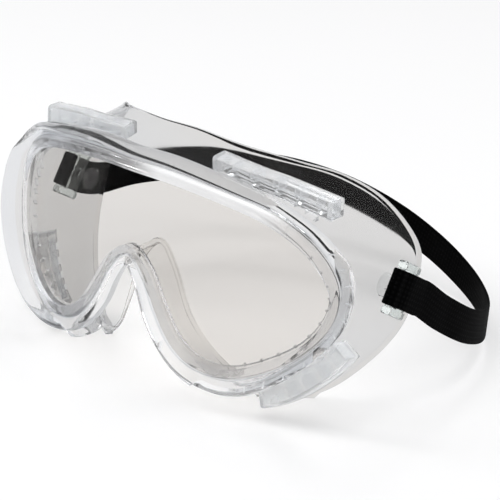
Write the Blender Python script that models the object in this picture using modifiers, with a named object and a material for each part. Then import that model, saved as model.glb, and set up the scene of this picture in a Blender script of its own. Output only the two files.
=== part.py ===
"""Clear chemical-splash goggles, modelled as an assembly of separate pieces.

A soft face body holds a curved lens in its front channel.  Two covered vents sit behind the rim
at the top and two at the bottom.  A clip swivels on a stud at each temple, and one elastic
headband runs from clip to clip.  Metres, +Z up, the lens facing -Y, the wearer's face at +Y.

Drawing frame: the origin is the middle of the lens front, level with the top of the opening.
place() moves it to the part's frame: on the table, under the middle of the whole object.
"""
import math

import bmesh
import bpy
import numpy as np
from mathutils import Matrix, Vector

MM = 0.001

# Where the drawing frame's origin lies in the part's frame
TABLE_DROP = 87.0 * MM
FRONT_SHIFT = 91.2 * MM

# Lens and the channel that holds it
LENS_RADIUS = 120.0 * MM
LENS_THICK = 1.8 * MM
FIT_GAP = 0.3 * MM
LENS_SHARE = 0.42
GROOVE_SHARE = 0.51

# Half outlines, from the top centre round the right lobe to the top of the nose arch.
# (u along the lens, v up) in millimetres: inner edge of the rim, then its outer edge.
OPENING = [(0, 2.5), (18, 2), (38, -1), (55, -6), (69, -15), (78, -27), (79, -38), (72, -50),
           (59, -59), (45, -64.5), (33, -63.5), (24, -57.5), (16.5, -46), (9.5, -34), (0, -27)]
RIM = [(0, 12), (19, 12), (41, 8.5), (60, 3.5), (76, -7), (86, -22), (86.5, -38), (79, -53),
       (64, -66), (47, -73), (31, -72.5), (19, -66), (10, -54), (4.5, -41), (0, -34.5)]
# How far the rim's outer edge flares off the lens's cylinder, as (x, y, z) in millimetres
FLARE_OUT = [(0, 0, 0), (0, 0, 0), (0.5, 0, -0.5), (2.3, 0, -2.2), (3.6, -0.4, -3), (4.7, -4.5, 1),
             (4.8, -8, 1), (3, -9, 2), (1, -7, 0), (1, -3, -0.5), (0, -1, 0), (0, 0, 0), (0, 0, 0),
             (0, 0, 0), (0, 0, 0)]
# The edge that meets the face, as (x, y, z) in millimetres
FACE_EDGE = [(0, 36, 11.5), (19, 38, 10), (41, 45.5, 7.6), (54, 59, 2.5), (66, 70.5, -7),
             (76.5, 78, -22), (78.5, 78.5, -35), (77.5, 73, -54), (70, 64, -70), (57, 53, -84),
             (40, 41, -87.4), (25, 30, -76), (14.5, 22.5, -59), (7.5, 20, -40), (0, 20, -31)]
# Where the side wall leaves the rim (share of the rim's width), and how late it flares out
WALL_ROOT = [0.12, 0.15, 0.25, 0.5, 0.75, 0.6, 0.5, 0.65, 0.85, 0.9, 0.75, 0.5, 0.5, 0.55, 0.6]
WALL_FLARE = [3, 3, 3, 2.6, 1.6, 1.0, 0.9, 1.0, 1.4, 1.6, 1.1, 1.3, 1.3, 1.2, 1.2]
WALL_THICK = 2.0 * MM
STEPS_PER_POINT = 3
WALL_SHARES = (0.0, 0.22, 0.44, 0.66, 0.88, 1.0)
# Whatever of the wall lies lower than this above the table is pressed flat onto it
FOOT_RISE = 2.4 * MM
LEDGE_SPAN = (9.95, 11.2)

# Vents: stretch of the outline, distance behind the lens and height of the cover at both ends,
# where the cover leaves the wall and runs on straight, and how far it stands upright
TOP_VENT = {"span": (1.2, 4.0), "setback": (17.5 * MM, 9.5 * MM), "height": (6.2 * MM, 8.0 * MM),
            "straight_from": 2.85, "upright": 1.0}
LOW_VENT = {"span": (7.05, 8.8), "setback": (11.0 * MM, 11.0 * MM), "height": (9.8 * MM, 9.8 * MM),
            "straight_from": 9.0, "upright": 0.0}
VENT_DEPTH = 7.6 * MM
VENT_LIFT = 0.6 * MM
COVER_THICK = 1.1 * MM
GRILLE_DEPTH = 4.0 * MM
GRILLE_THICK = 1.4 * MM
PORTS = 4

# Temple clips, their studs and the swivel axis
PIVOT = Vector((0.0, 62.5 * MM, -36.5 * MM))
DROOP = math.radians(28)
CLIP_X = 80.6 * MM
PLATE_THICK = 2.2 * MM
RAIL_THICK = 4.2 * MM
CLIP_FRONT = -8.4 * MM
CLIP_REAR = 3.8 * MM
CLIP_TALL = 21.0 * MM
SLOT_TALL = 15.6 * MM
SLOT_WIDE = 3.6 * MM
SLOT_INSET = 0.2 * MM
BAR_WIDE = 2.0 * MM
STUD_R = 1.5 * MM
STUD_HEAD_R = 2.6 * MM
STUD_COLLAR_R = 3.0 * MM
STUD_COLLAR_X = 79.3 * MM
STUD_FLANGE_R = 4.6 * MM
STUD_FLANGE_X = 73.5 * MM

# Headband
BAND_WIDE = 14.0 * MM
BAND_THICK = 1.2 * MM

GOGGLES = None
CUTTERS = None


def place(point):
    """Move a point from the drawing frame to the part's frame."""
    return Vector((point[0], point[1] - FRONT_SHIFT, point[2] + TABLE_DROP))


# ---------------------------------------------------------------- scene and materials

def clear_scene():
    for obj in list(bpy.data.objects):
        bpy.data.objects.remove(obj, do_unlink=True)


def make_collection(name):
    collection = bpy.data.collections.new(name)
    bpy.context.scene.collection.children.link(collection)
    return collection


def material(name, colour, roughness, metallic=0.0, alpha=1.0):
    mat = bpy.data.materials.new(name)
    mat.use_nodes = True
    shader = mat.node_tree.nodes["Principled BSDF"]
    shader.inputs["Base Color"].default_value = (*colour, 1.0)
    shader.inputs["Roughness"].default_value = roughness
    shader.inputs["Metallic"].default_value = metallic
    shader.inputs["Alpha"].default_value = alpha
    return mat


def add_piece(name, mesh, mat, smooth=35):
    obj = bpy.data.objects.new(name, mesh)
    GOGGLES.objects.link(obj)
    mesh.materials.clear()
    mesh.materials.append(mat)
    mesh.shade_smooth()
    mesh.set_sharp_from_angle(angle=math.radians(smooth))
    return obj


def add_cutter(name, bm):
    mesh = bpy.data.meshes.new(name)
    bm.to_mesh(mesh)
    bm.free()
    obj = bpy.data.objects.new(name, mesh)
    CUTTERS.objects.link(obj)
    obj.hide_render = True
    obj.display_type = "WIRE"
    return obj


def cut(obj, cutter):
    mod = obj.modifiers.new("cut_" + cutter.name, "BOOLEAN")
    mod.operation = "DIFFERENCE"
    mod.object = cutter


def face_outwards(bm):
    bm.normal_update()
    bmesh.ops.recalc_face_normals(bm, faces=bm.faces)


def hang_on_axis(obj):
    """Move a piece's origin onto the swivel axis, leaving its shape where it is."""
    origin = place(PIVOT)
    obj.data.transform(Matrix.Translation(-origin))
    obj.matrix_world = Matrix.Translation(origin)


def mesh_from_bmesh(name, bm):
    face_outwards(bm)
    mesh = bpy.data.meshes.new(name)
    bm.to_mesh(mesh)
    bm.free()
    return mesh


# ---------------------------------------------------------------- curves through points

def closed_half(points):
    """Mirror a half outline in its first component, giving a closed loop of points."""
    half = np.array(points, float)
    mirrored = half[-2:0:-1].copy()
    mirrored[:, 0] *= -1
    return np.vstack([half, mirrored])


def closed_values(values):
    half = np.array(values, float)
    return np.concatenate([half, half[-2:0:-1]])


def catmull(before, start, end, after, t):
    return 0.5 * (2 * start + (end - before) * t + (2 * before - 5 * start + 4 * end - after) * t ** 2
                  + (3 * start - before - 3 * end + after) * t ** 3)


def on_loop(points, index):
    """Point on the closed smooth curve through the points, at a fractional index."""
    count = len(points)
    whole = math.floor(index)
    corner = [points[(whole + k) % count] for k in (-1, 0, 1, 2)]
    return catmull(*corner, index - whole)


def on_path(points, index):
    """The same for an open curve."""
    last = len(points) - 1
    whole = min(int(index), last - 1)
    corner = [points[min(max(whole + k, 0), last)] for k in (-1, 0, 1, 2)]
    return catmull(*corner, index - whole)


# ---------------------------------------------------------------- the face body's surfaces

OPENING_LOOP = closed_half(OPENING) * MM
RIM_LOOP = closed_half(RIM) * MM
EDGE_LOOP = closed_half(FACE_EDGE) * MM
FLARE_OUT_LOOP = closed_half(FLARE_OUT) * MM
ROOT_LOOP = closed_values(WALL_ROOT)
FLARE_LOOP = closed_values(WALL_FLARE)
LOOP_COUNT = len(OPENING_LOOP)


def on_lens(u, v, forward):
    """Point at (u, v) on the lens's front surface, pushed forward along its normal."""
    radius = LENS_RADIUS + forward
    angle = u / LENS_RADIUS
    return Vector((radius * math.sin(angle), LENS_RADIUS - radius * math.cos(angle), v))


def rim_point(index, share, forward):
    """Point across the rim: share 0 is its inner edge and 1 its outer edge."""
    inner = on_loop(OPENING_LOOP, index)
    outer = on_loop(RIM_LOOP, index)
    u, v = inner + (outer - inner) * share
    flare = max(share - GROOVE_SHARE, 0.0) / (1.0 - GROOVE_SHARE)
    return on_lens(u, v, forward * MM) + Vector(on_loop(FLARE_OUT_LOOP, index)) * flare


def wall_point(index, s):
    """Outer surface of the side wall, from the rim (s = 0) back to the face edge (s = 1)."""
    root = rim_point(index, float(on_loop(ROOT_LOOP, index)), -5.6)
    edge = Vector(on_loop(EDGE_LOOP, index))
    spread = max(s, 0.0) ** float(on_loop(FLARE_LOOP, index))
    return Vector((root.x + (edge.x - root.x) * spread, root.y + (edge.y - root.y) * s,
                   root.z + (edge.z - root.z) * spread))


def wall_normal(index, s):
    """Outward normal of the side wall."""
    along = wall_point(index + 0.05, s) - wall_point(index - 0.05, s)
    back = wall_point(index, min(s + 0.02, 1.0)) - wall_point(index, max(s - 0.02, 0.0))
    return along.cross(back).normalized()


def wall_share(index, setback):
    """How far back along the wall (0..1) a point lies that is setback behind the lens front."""
    shares = np.linspace(0, 1, 41)
    behind = []
    for s in shares:
        p = wall_point(index, s)
        lens_y = LENS_RADIUS - math.sqrt(LENS_RADIUS ** 2 - p.x ** 2)
        behind.append(p.y - lens_y)
    return float(np.interp(setback, behind, shares))


def has_ledge(index):
    mirrored = LOOP_COUNT - index
    return any(LEDGE_SPAN[0] <= k <= LEDGE_SPAN[1] for k in (index, mirrored))


def standing(p):
    """The soft cheeks press flat where the goggles stand on a table."""
    if p.z < FOOT_RISE - TABLE_DROP:
        p.z = -TABLE_DROP
    return p


def body_section(index):
    """The body's closed cross-section at one place round the outline."""
    if has_ledge(index):
        shoulder = [(1.0, -2.2), (1.4, -2.8), (1.4, -5.4)]
    else:
        shoulder = [(1.0, -1.4), (0.98, -2.8), (0.92, -3.6)]
    front = [(0.0, 0.3), (0.0, 1.1), (0.28, 2.2), (0.6, 2.6), (0.88, 2.0), (1.0, 0.6)] + shoulder
    points = [rim_point(index, share, forward) for share, forward in front]
    outer = [standing(wall_point(index, s)) for s in WALL_SHARES]
    inner = [p - wall_normal(index, s) * WALL_THICK for p, s in zip(outer, WALL_SHARES)]
    points += outer + inner[::-1]
    root = float(on_loop(ROOT_LOOP, index))
    back = [(max(root - 0.26, -0.1), -4.5), (0.0, -3.9), (0.0, -2.1), (GROOVE_SHARE, -2.1),
            (GROOVE_SHARE, 0.3)]
    points += [rim_point(index, share, forward) for share, forward in back]
    return points


def build_face_body(mat):
    bm = bmesh.new()
    stations = LOOP_COUNT * STEPS_PER_POINT
    rings = []
    for k in range(stations):
        section = body_section(k / STEPS_PER_POINT)
        rings.append([bm.verts.new(place(p)) for p in section])
    count = len(rings[0])
    for k in range(stations):
        ring, following = rings[k], rings[(k + 1) % stations]
        for j in range(count):
            i = (j + 1) % count
            bm.faces.new((ring[j], ring[i], following[i], following[j]))
    obj = add_piece("face_body", mesh_from_bmesh("face_body", bm), mat)
    for side in (1, -1):
        cut(obj, stud_hole(side))
    for name, vent, sign in vents():
        for port in vent_ports(name, vent, sign):
            cut(obj, port)
    return obj


# ---------------------------------------------------------------- lens

def lens_edges(columns):
    """Top and bottom edge of the lens at evenly turning columns from one end to the other."""
    indices = np.linspace(0, LOOP_COUNT / 2, 281)
    loop = []
    for index in indices:
        inner = on_loop(OPENING_LOOP, index)
        loop.append(inner + (on_loop(RIM_LOOP, index) - inner) * LENS_SHARE)
    loop = np.array(loop)
    tip = int(loop[:, 0].argmax())
    reach = loop[tip, 0]
    places = reach * np.sin(np.linspace(-math.pi / 2, math.pi / 2, columns))
    top = np.interp(np.abs(places), loop[:tip + 1, 0], loop[:tip + 1, 1])
    low_u = np.maximum.accumulate(loop[:tip - 1:-1, 0])
    low = np.interp(np.abs(places), low_u, loop[:tip - 1:-1, 1])
    return places, top, low


def build_lens(mat):
    columns, rows = 65, 5
    places, top, low = lens_edges(columns)
    bm = bmesh.new()
    grid = []
    for u, high, bottom in zip(places[1:-1], top[1:-1], low[1:-1]):
        grid.append([bm.verts.new(place(on_lens(u, v, 0.0))) for v in np.linspace(high, bottom, rows)])
    ends = [bm.verts.new(place(on_lens(places[k], top[k], 0.0))) for k in (0, -1)]
    for left, right in zip(grid, grid[1:]):
        for j in range(rows - 1):
            bm.faces.new((left[j], left[j + 1], right[j + 1], right[j]))
    for end, column in zip(ends, (grid[0], grid[-1])):
        for j in range(rows - 1):
            bm.faces.new((end, column[j], column[j + 1]))
    obj = add_piece("lens", mesh_from_bmesh("lens", bm), mat)
    shell = obj.modifiers.new("thickness", "SOLIDIFY")
    shell.thickness = LENS_THICK
    shell.offset = -1.0
    return obj


# ---------------------------------------------------------------- vents

def vents():
    """Name, description and side of the four vents."""
    return [("top_right", TOP_VENT, 1), ("top_left", TOP_VENT, -1),
            ("bottom_right", LOW_VENT, 1), ("bottom_left", LOW_VENT, -1)]


def vent_share(vent, index, depth):
    """Place on the wall (0..1) that is depth behind the front edge of the vent."""
    setback = float(np.interp(index, vent["span"], vent["setback"]))
    return wall_share(index, setback + depth)


def vent_middle(vent, index):
    return wall_point(index, vent_share(vent, index, VENT_DEPTH / 2))


def vent_frame(vent, index):
    """Middle of the vent on the wall with its outward and rearward directions."""
    held = min(index, vent["straight_from"])
    front = wall_point(held, vent_share(vent, held, 0.0))
    rear = wall_point(held, vent_share(vent, held, VENT_DEPTH))
    back = (rear - front).normalized()
    out = wall_normal(held, vent_share(vent, held, VENT_DEPTH / 2))
    out = out.lerp(Vector((0, 0, 1)), vent["upright"])
    out = (out - back * out.dot(back)).normalized()
    middle = vent_middle(vent, held)
    ahead = (middle - vent_middle(vent, held - 0.1)) / 0.1
    return middle + ahead * (index - held), out, back


def vent_point(vent, index, along_back, lift, sign):
    middle, out, back = vent_frame(vent, index)
    p = middle + back * along_back + out * lift
    p = place(p)
    return Vector((sign * p.x, p.y, p.z))


def build_cover(name, vent, sign, mat):
    """A curved hood, open towards the wall, standing clear of it."""
    half = VENT_DEPTH / 2
    corner = 0.8 * MM
    bm = bmesh.new()
    rings = []
    for index in np.linspace(*vent["span"], 15):
        top = float(np.interp(index, vent["span"], vent["height"]))
        profile = [(-half, VENT_LIFT), (-half, top - corner), (-half + corner, top),
                   (half - corner, top), (half, top - corner), (half, VENT_LIFT)]
        ring = []
        for along_back, lift in profile:
            p = vent_point(vent, index, along_back, lift, sign)
            ring.append(bm.verts.new(p))
        rings.append(ring)
    for ring, following in zip(rings, rings[1:]):
        for j in range(len(profile) - 1):
            bm.faces.new((ring[j], ring[j + 1], following[j + 1], following[j]))
    for ring in (rings[0], rings[-1]):
        bm.faces.new(ring)
    obj = add_piece("vent_cover_" + name, mesh_from_bmesh("vent_cover_" + name, bm), mat)
    shell = obj.modifiers.new("thickness", "SOLIDIFY")
    shell.thickness = COVER_THICK
    shell.offset = -1.0
    shell.use_even_offset = True
    return obj


def grille_span(vent):
    first, last = vent["span"]
    inset = 0.1 * (last - first)
    return first + inset, last - inset


def build_grille(name, vent, sign, mat):
    """A ladder-shaped strip over the ports: two rails joined by rungs."""
    first, last = grille_span(vent)
    cells = PORTS * 4 + 1
    half = GRILLE_DEPTH / 2
    rail = 0.9 * MM
    across = (-half, -half + rail, half - rail, half)
    lift = VENT_LIFT + GRILLE_THICK
    bm = bmesh.new()
    rings = []
    for index in np.linspace(first, last, cells + 1):
        rings.append([bm.verts.new(vent_point(vent, index, a, lift, sign)) for a in across])
    for k, (ring, following) in enumerate(zip(rings, rings[1:])):
        is_rung = k % 4 == 0
        for j in range(3):
            if j == 1 and not is_rung:
                continue
            bm.faces.new((ring[j], ring[j + 1], following[j + 1], following[j]))
    obj = add_piece("vent_grille_" + name, mesh_from_bmesh("vent_grille_" + name, bm), mat)
    shell = obj.modifiers.new("thickness", "SOLIDIFY")
    shell.thickness = GRILLE_THICK
    shell.offset = -1.0 if normal_points_out(obj, vent, sign) else 1.0
    return obj


def normal_points_out(obj, vent, sign):
    middle_index = sum(vent["span"]) / 2
    outward = vent_point(vent, middle_index, 0, 1.0, sign) - vent_point(vent, middle_index, 0, 0.0, sign)
    total = Vector((0, 0, 0))
    for face in obj.data.polygons:
        total += face.normal
    return total.dot(outward) > 0


def vent_ports(name, vent, sign):
    """Cutters for the slots through the wall beneath one grille."""
    first, last = grille_span(vent)
    cells = PORTS * 4 + 1
    step = (last - first) / cells
    ports = []
    for k in range(PORTS):
        start = first + (4 * k + 1.5) * step
        end = first + (4 * k + 3.5) * step
        corners = []
        for lift in (-4.0 * MM, 3.0 * MM):
            for index, along_back in ((start, -1), (start, 1), (end, 1), (end, -1)):
                corners.append(vent_point(vent, index, along_back * MM, lift, sign))
        bm = bmesh.new()
        bmesh.ops.create_cube(bm, size=1.0)
        order = sorted(bm.verts, key=lambda v: (v.co.z, math.atan2(v.co.y, v.co.x)))
        for vert, corner in zip(order, corners):
            vert.co = corner
        face_outwards(bm)
        ports.append(add_cutter("port_%s_%d" % (name, k + 1), bm))
    return ports


# ---------------------------------------------------------------- temple studs and clips

def clip_frame(side):
    """Matrix from the clip's own axes (out, back, up) to the part's frame."""
    out = Vector((side, 0, 0))
    back = Vector((0, math.cos(DROOP), -math.sin(DROOP)))
    up = Vector((0, math.sin(DROOP), math.cos(DROOP)))
    origin = place(PIVOT)
    rows = [(out[k], back[k], up[k], origin[k]) for k in range(3)]
    return Matrix((*rows, (0, 0, 0, 1)))


def turned(bm_name, profile, side, mat):
    """A turned piece about the swivel axis from (distance out, radius) pairs."""
    mesh = bpy.data.meshes.new(bm_name)
    points = [(radius, 0.0, out) for out, radius in profile]
    mesh.from_pydata(points, [(k, k + 1) for k in range(len(points) - 1)], [])
    obj = add_piece(bm_name, mesh, mat)
    screw = obj.modifiers.new("turn", "SCREW")
    screw.steps = 24
    screw.render_steps = 24
    screw.use_merge_vertices = True
    screw.merge_threshold = 0.00001
    origin = place(PIVOT)
    turn = Matrix.Rotation(math.radians(90 * side), 4, "Y")
    obj.matrix_world = Matrix.Translation(origin) @ turn
    return obj


def build_stud(side_name, side, mat):
    head_out = CLIP_X + PLATE_THICK - 0.1 * MM
    head_in = head_out - 0.9 * MM
    profile = [(head_out, 0.0), (head_out, STUD_HEAD_R), (head_in, STUD_HEAD_R), (head_in, STUD_R),
               (CLIP_X - FIT_GAP, STUD_R), (CLIP_X - FIT_GAP, STUD_COLLAR_R),
               (STUD_COLLAR_X, STUD_COLLAR_R), (STUD_COLLAR_X, STUD_R),
               (STUD_FLANGE_X, STUD_R), (STUD_FLANGE_X, STUD_FLANGE_R),
               (STUD_FLANGE_X - 1.2 * MM, STUD_FLANGE_R), (STUD_FLANGE_X - 1.2 * MM, 0.0)]
    return turned("clip_stud_" + side_name, profile, side, mat)


def cylinder_cutter(name, radius, start, end, side):
    bm = bmesh.new()
    bmesh.ops.create_cone(bm, cap_ends=True, segments=24, radius1=radius, radius2=radius,
                          depth=end - start)
    turn = Matrix.Rotation(math.radians(90), 4, "Y")
    shift = Matrix.Translation(place(PIVOT) + Vector((side * (start + end) / 2, 0, 0)))
    bmesh.ops.transform(bm, matrix=shift @ turn, verts=bm.verts)
    return add_cutter(name, bm)


def stud_hole(side):
    return cylinder_cutter("stud_hole_%d" % side, STUD_R + 0.4 * MM, 72.0 * MM, 84.0 * MM, side)


def box_in_frame(frame, low, high):
    bm = bmesh.new()
    bmesh.ops.create_cube(bm, size=1.0)
    for vert in bm.verts:
        vert.co = frame @ Vector([low[k] if vert.co[k] < 0 else high[k] for k in range(3)])
    face_outwards(bm)
    return bm


def build_clip(side_name, side, mat):
    """Flat slide with thick end rails, a slot near its front end and a hole for the stud."""
    frame = clip_frame(side)
    rise = (RAIL_THICK - PLATE_THICK) / 2
    low = (CLIP_X - rise, CLIP_FRONT, -CLIP_TALL / 2)
    high = (CLIP_X + PLATE_THICK + rise, CLIP_REAR, CLIP_TALL / 2)
    mesh = mesh_from_bmesh("strap_clip_" + side_name, box_in_frame(frame, low, high))
    obj = add_piece("strap_clip_" + side_name, mesh, mat)
    hang_on_axis(obj)
    bevel = obj.modifiers.new("soft_edges", "BEVEL")
    bevel.width = 0.9 * MM
    bevel.segments = 3
    reach = 2 * CLIP_TALL
    tall = SLOT_TALL / 2
    slot_from = CLIP_FRONT + BAR_WIDE
    slot_to = slot_from + SLOT_WIDE
    inside = tall - SLOT_INSET
    recesses = [("inner", (CLIP_X - 9 * MM, -reach, -tall), (CLIP_X, reach, tall)),
                ("outer", (CLIP_X + PLATE_THICK, -reach, -tall), (CLIP_X + 9 * MM, reach, tall)),
                ("slot", (CLIP_X - 8 * MM, slot_from, -inside), (CLIP_X + 8 * MM, slot_to, inside))]
    for name, a, b in recesses:
        cut(obj, add_cutter("%s_%s" % (name, side_name), box_in_frame(frame, a, b)))
    cut(obj, cylinder_cutter("pivot_%s" % side_name, STUD_R + FIT_GAP, CLIP_X - 2 * MM,
                             CLIP_X + 4 * MM, side))
    sink = CLIP_X + PLATE_THICK - 0.1 * MM - 0.9 * MM - FIT_GAP
    cut(obj, cylinder_cutter("sink_%s" % side_name, STUD_HEAD_R + FIT_GAP, sink,
                             CLIP_X + 4 * MM, side))
    return obj


# ---------------------------------------------------------------- headband

# How the band threads the right clip, in millimetres: (out from the plate's inner face, back).
# The tail lies on the plate, dives through the front slot, turns round the front bar and leaves
# over the tail.
THREADING = [(3.15, 9.5), (3.1, 6), (3.1, 2), (3.1, -1.2), (3.0, -2.9), (2.3, -4.3),
             (1.1, -4.95), (-0.2, -5.5), (-0.85, -6.5), (-0.95, -7.7), (-0.55, -8.95), (1.1, -9.5),
             (2.75, -8.95), (3.25, -7.9), (3.4, -6.4), (4.1, -4.7), (4.7, -2.4), (4.8, 1.2),
             (4.8, 6.0), (4.85, 10.5)]
# The free run round the back of the head, from the right clip to the left one
BACK_RUN = [(86.5, 85, -50.5), (87, 106, -62), (80, 132, -71.5), (66, 156, -76),
            (48, 173, -75), (25, 182, -69), (0, 184.5, -62), (-25, 181, -56),
            (-48, 171, -52), (-66, 154, -49.5), (-78, 132, -47.5), (-85, 108, -46), (-86.5, 86, -45.5)]


def threading_points(side):
    frame = clip_frame(side)
    points = [frame @ Vector((CLIP_X + out * MM, back * MM, 0)) for out, back in THREADING]
    up = frame.to_3x3() @ Vector((0, 0, 1))
    return points, up


def headband_route():
    """Centre line of the whole band and its width direction at each point."""
    right, up = threading_points(1)
    left, _ = threading_points(-1)
    free = [place(Vector(p) * MM) for p in BACK_RUN]
    points = [np.array(p) for p in right + free + left[::-1]]
    held = len(right)
    last = len(points) - 1
    route = []
    for k in range(last):
        steps = 3 if k < held or k >= last - held else 5
        for j in range(steps):
            route.append((Vector(on_path(points, k + j / steps)), k))
    route.append((Vector(points[-1]), last))
    widths = []
    for j, (point, k) in enumerate(route):
        ahead = route[min(j + 1, len(route) - 1)][0]
        behind = route[max(j - 1, 0)][0]
        tangent = (ahead - behind).normalized()
        if k < held - 1 or k > last - held:
            wide = up
        else:
            wide = Vector((0, 0, 1))
        wide = (wide - tangent * wide.dot(tangent)).normalized()
        widths.append((point, tangent, wide))
    return widths


def build_headband(mat):
    """A flat ribbon swept along the route."""
    bm = bmesh.new()
    rings = []
    for point, tangent, wide in headband_route():
        thick = tangent.cross(wide).normalized()
        ring = []
        for a, b in ((-1, -1), (1, -1), (1, 1), (-1, 1)):
            offset = wide * (a * BAND_WIDE / 2) + thick * (b * BAND_THICK / 2)
            ring.append(bm.verts.new(point + offset))
        rings.append(ring)
    for ring, following in zip(rings, rings[1:]):
        for j in range(4):
            i = (j + 1) % 4
            bm.faces.new((ring[j], ring[i], following[i], following[j]))
    bm.faces.new(rings[0])
    bm.faces.new(rings[-1])
    obj = add_piece("headband", mesh_from_bmesh("headband", bm), mat)
    hang_on_axis(obj)
    return obj


# ---------------------------------------------------------------- assembly

def main():
    global GOGGLES, CUTTERS
    clear_scene()
    GOGGLES = make_collection("safety_goggles")
    CUTTERS = make_collection("goggle_cutters")
    build_face_body(material("soft_clear_vinyl", (0.84, 0.83, 0.82), 0.2))
    build_lens(material("clear_polycarbonate", (0.95, 0.96, 0.96), 0.04))
    for name, vent, sign in vents():
        build_cover(name, vent, sign, material("clear_cover_" + name, (0.86, 0.87, 0.88), 0.12))
        build_grille(name, vent, sign, material("clear_grille_" + name, (0.8, 0.82, 0.84), 0.2))
    for side_name, side in (("right", 1), ("left", -1)):
        build_stud(side_name, side, material("stud_" + side_name, (0.8, 0.85, 0.84), 0.15))
        build_clip(side_name, side, material("clip_" + side_name, (0.83, 0.88, 0.86), 0.12))
    build_headband(material("black_elastic", (0.012, 0.012, 0.013), 0.85))


main()
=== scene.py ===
"""Looks of a pair of clear chemical-splash goggles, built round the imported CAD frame.

Lengths are metres unless a name ends in _mm.  The lens faces -Y and the wearer's head is at +Y.
The drawing frame has its origin at the middle of the lens front, level with the top of the
opening; place() moves a point from there to the part's frame.
"""
import math

import bmesh
import bpy
import numpy as np
from mathutils import Matrix, Vector


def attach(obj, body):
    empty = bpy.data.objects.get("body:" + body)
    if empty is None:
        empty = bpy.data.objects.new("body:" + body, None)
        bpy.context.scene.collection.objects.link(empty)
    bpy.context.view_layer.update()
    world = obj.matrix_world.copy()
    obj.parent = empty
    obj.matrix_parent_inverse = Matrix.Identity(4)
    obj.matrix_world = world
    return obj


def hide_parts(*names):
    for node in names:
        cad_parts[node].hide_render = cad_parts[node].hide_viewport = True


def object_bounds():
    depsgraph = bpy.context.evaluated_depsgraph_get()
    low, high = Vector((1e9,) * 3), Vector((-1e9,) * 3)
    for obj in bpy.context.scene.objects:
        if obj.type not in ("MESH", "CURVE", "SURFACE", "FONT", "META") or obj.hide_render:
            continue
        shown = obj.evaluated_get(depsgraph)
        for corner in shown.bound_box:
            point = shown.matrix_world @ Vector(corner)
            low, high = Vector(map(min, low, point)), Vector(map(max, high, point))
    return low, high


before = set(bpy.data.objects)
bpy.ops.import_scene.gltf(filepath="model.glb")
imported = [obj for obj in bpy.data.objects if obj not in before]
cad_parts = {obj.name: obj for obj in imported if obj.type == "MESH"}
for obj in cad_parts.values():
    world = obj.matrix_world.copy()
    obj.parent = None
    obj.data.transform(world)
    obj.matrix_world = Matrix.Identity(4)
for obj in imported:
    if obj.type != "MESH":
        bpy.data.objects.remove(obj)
CAD_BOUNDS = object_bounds()

MM = 0.001

# ---------------------------------------------------------------- driving shapes, as in the CAD

TABLE_DROP = 87.0 * MM
FRONT_SHIFT = 91.2 * MM
LENS_RADIUS = 120.0 * MM
LENS_THICK = 1.8 * MM
LENS_SHARE = 0.42
GROOVE_SHARE = 0.51
OPENING = [(0, 2.5), (18, 2), (38, -1), (55, -6), (69, -15), (78, -27), (79, -38), (72, -50),
           (59, -59), (45, -64.5), (33, -63.5), (24, -57.5), (16.5, -46), (9.5, -34), (0, -27)]
RIM = [(0, 12), (19, 12), (41, 8.5), (60, 3.5), (76, -7), (86, -22), (86.5, -38), (79, -53),
       (64, -66), (47, -73), (31, -72.5), (19, -66), (10, -54), (4.5, -41), (0, -34.5)]
FLARE_OUT = [(0, 0, 0), (0, 0, 0), (0.5, 0, -0.5), (2.3, 0, -2.2), (3.6, -0.4, -3), (4.7, -4.5, 1),
             (4.8, -8, 1), (3, -9, 2), (1, -7, 0), (1, -3, -0.5), (0, -1, 0), (0, 0, 0), (0, 0, 0),
             (0, 0, 0), (0, 0, 0)]
FACE_EDGE = [(0, 36, 11.5), (19, 38, 10), (41, 45.5, 7.6), (54, 59, 2.5), (66, 70.5, -7),
             (76.5, 78, -22), (78.5, 78.5, -35), (77.5, 73, -54), (70, 64, -70), (57, 53, -84),
             (40, 41, -87.4), (25, 30, -76), (14.5, 22.5, -59), (7.5, 20, -40), (0, 20, -31)]
WALL_ROOT = [0.12, 0.15, 0.25, 0.5, 0.75, 0.6, 0.5, 0.65, 0.85, 0.9, 0.75, 0.5, 0.5, 0.55, 0.6]
WALL_FLARE = [3, 3, 3, 2.6, 1.6, 1.0, 0.9, 1.0, 1.4, 1.6, 1.1, 1.3, 1.3, 1.2, 1.2]
WALL_THICK = 2.0 * MM
LEDGE_SPAN = (9.95, 11.2)
TOP_VENT = {"span": (1.2, 4.0), "setback": (17.5 * MM, 9.5 * MM), "height": (6.2 * MM, 8.0 * MM),
            "straight_from": 2.85, "upright": 1.0}
LOW_VENT = {"span": (7.05, 8.8), "setback": (11.0 * MM, 11.0 * MM), "height": (9.8 * MM, 9.8 * MM),
            "straight_from": 9.0, "upright": 0.0}
VENT_DEPTH = 7.6 * MM
VENT_LIFT = 0.6 * MM
COVER_THICK = 1.1 * MM
COVER_ROUND = 1.3 * MM
FOOT_RISE = 2.4 * MM
PORTS = 4
PORT_WIDE = 2.0 * MM
PORT_REACH = (-4.0 * MM, 3.0 * MM)
PIVOT = Vector((0.0, 62.5 * MM, -36.5 * MM))
DROOP = math.radians(28)
CLIP_X = 80.6 * MM
BAND_WIDE = 14.0 * MM
BAND_THICK = 1.2 * MM
THREADING = [(3.15, 9.5), (3.1, 6), (3.1, 2), (3.1, -1.2), (3.0, -2.9), (2.3, -4.3),
             (1.1, -4.95), (-0.2, -5.5), (-0.85, -6.5), (-0.95, -7.7), (-0.55, -8.95), (1.1, -9.5),
             (2.75, -8.95), (3.25, -7.9), (3.4, -6.4), (4.1, -4.7), (4.7, -2.4), (4.8, 1.2),
             (4.8, 6.0), (4.85, 10.5)]
BACK_RUN = [(86.5, 85, -50.5), (87, 106, -62), (80, 132, -71.5), (66, 156, -76),
            (48, 173, -75), (25, 182, -69), (0, 184.5, -62), (-25, 181, -56),
            (-48, 171, -52), (-66, 154, -49.5), (-78, 132, -47.5), (-85, 108, -46), (-86.5, 86, -45.5)]

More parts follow.
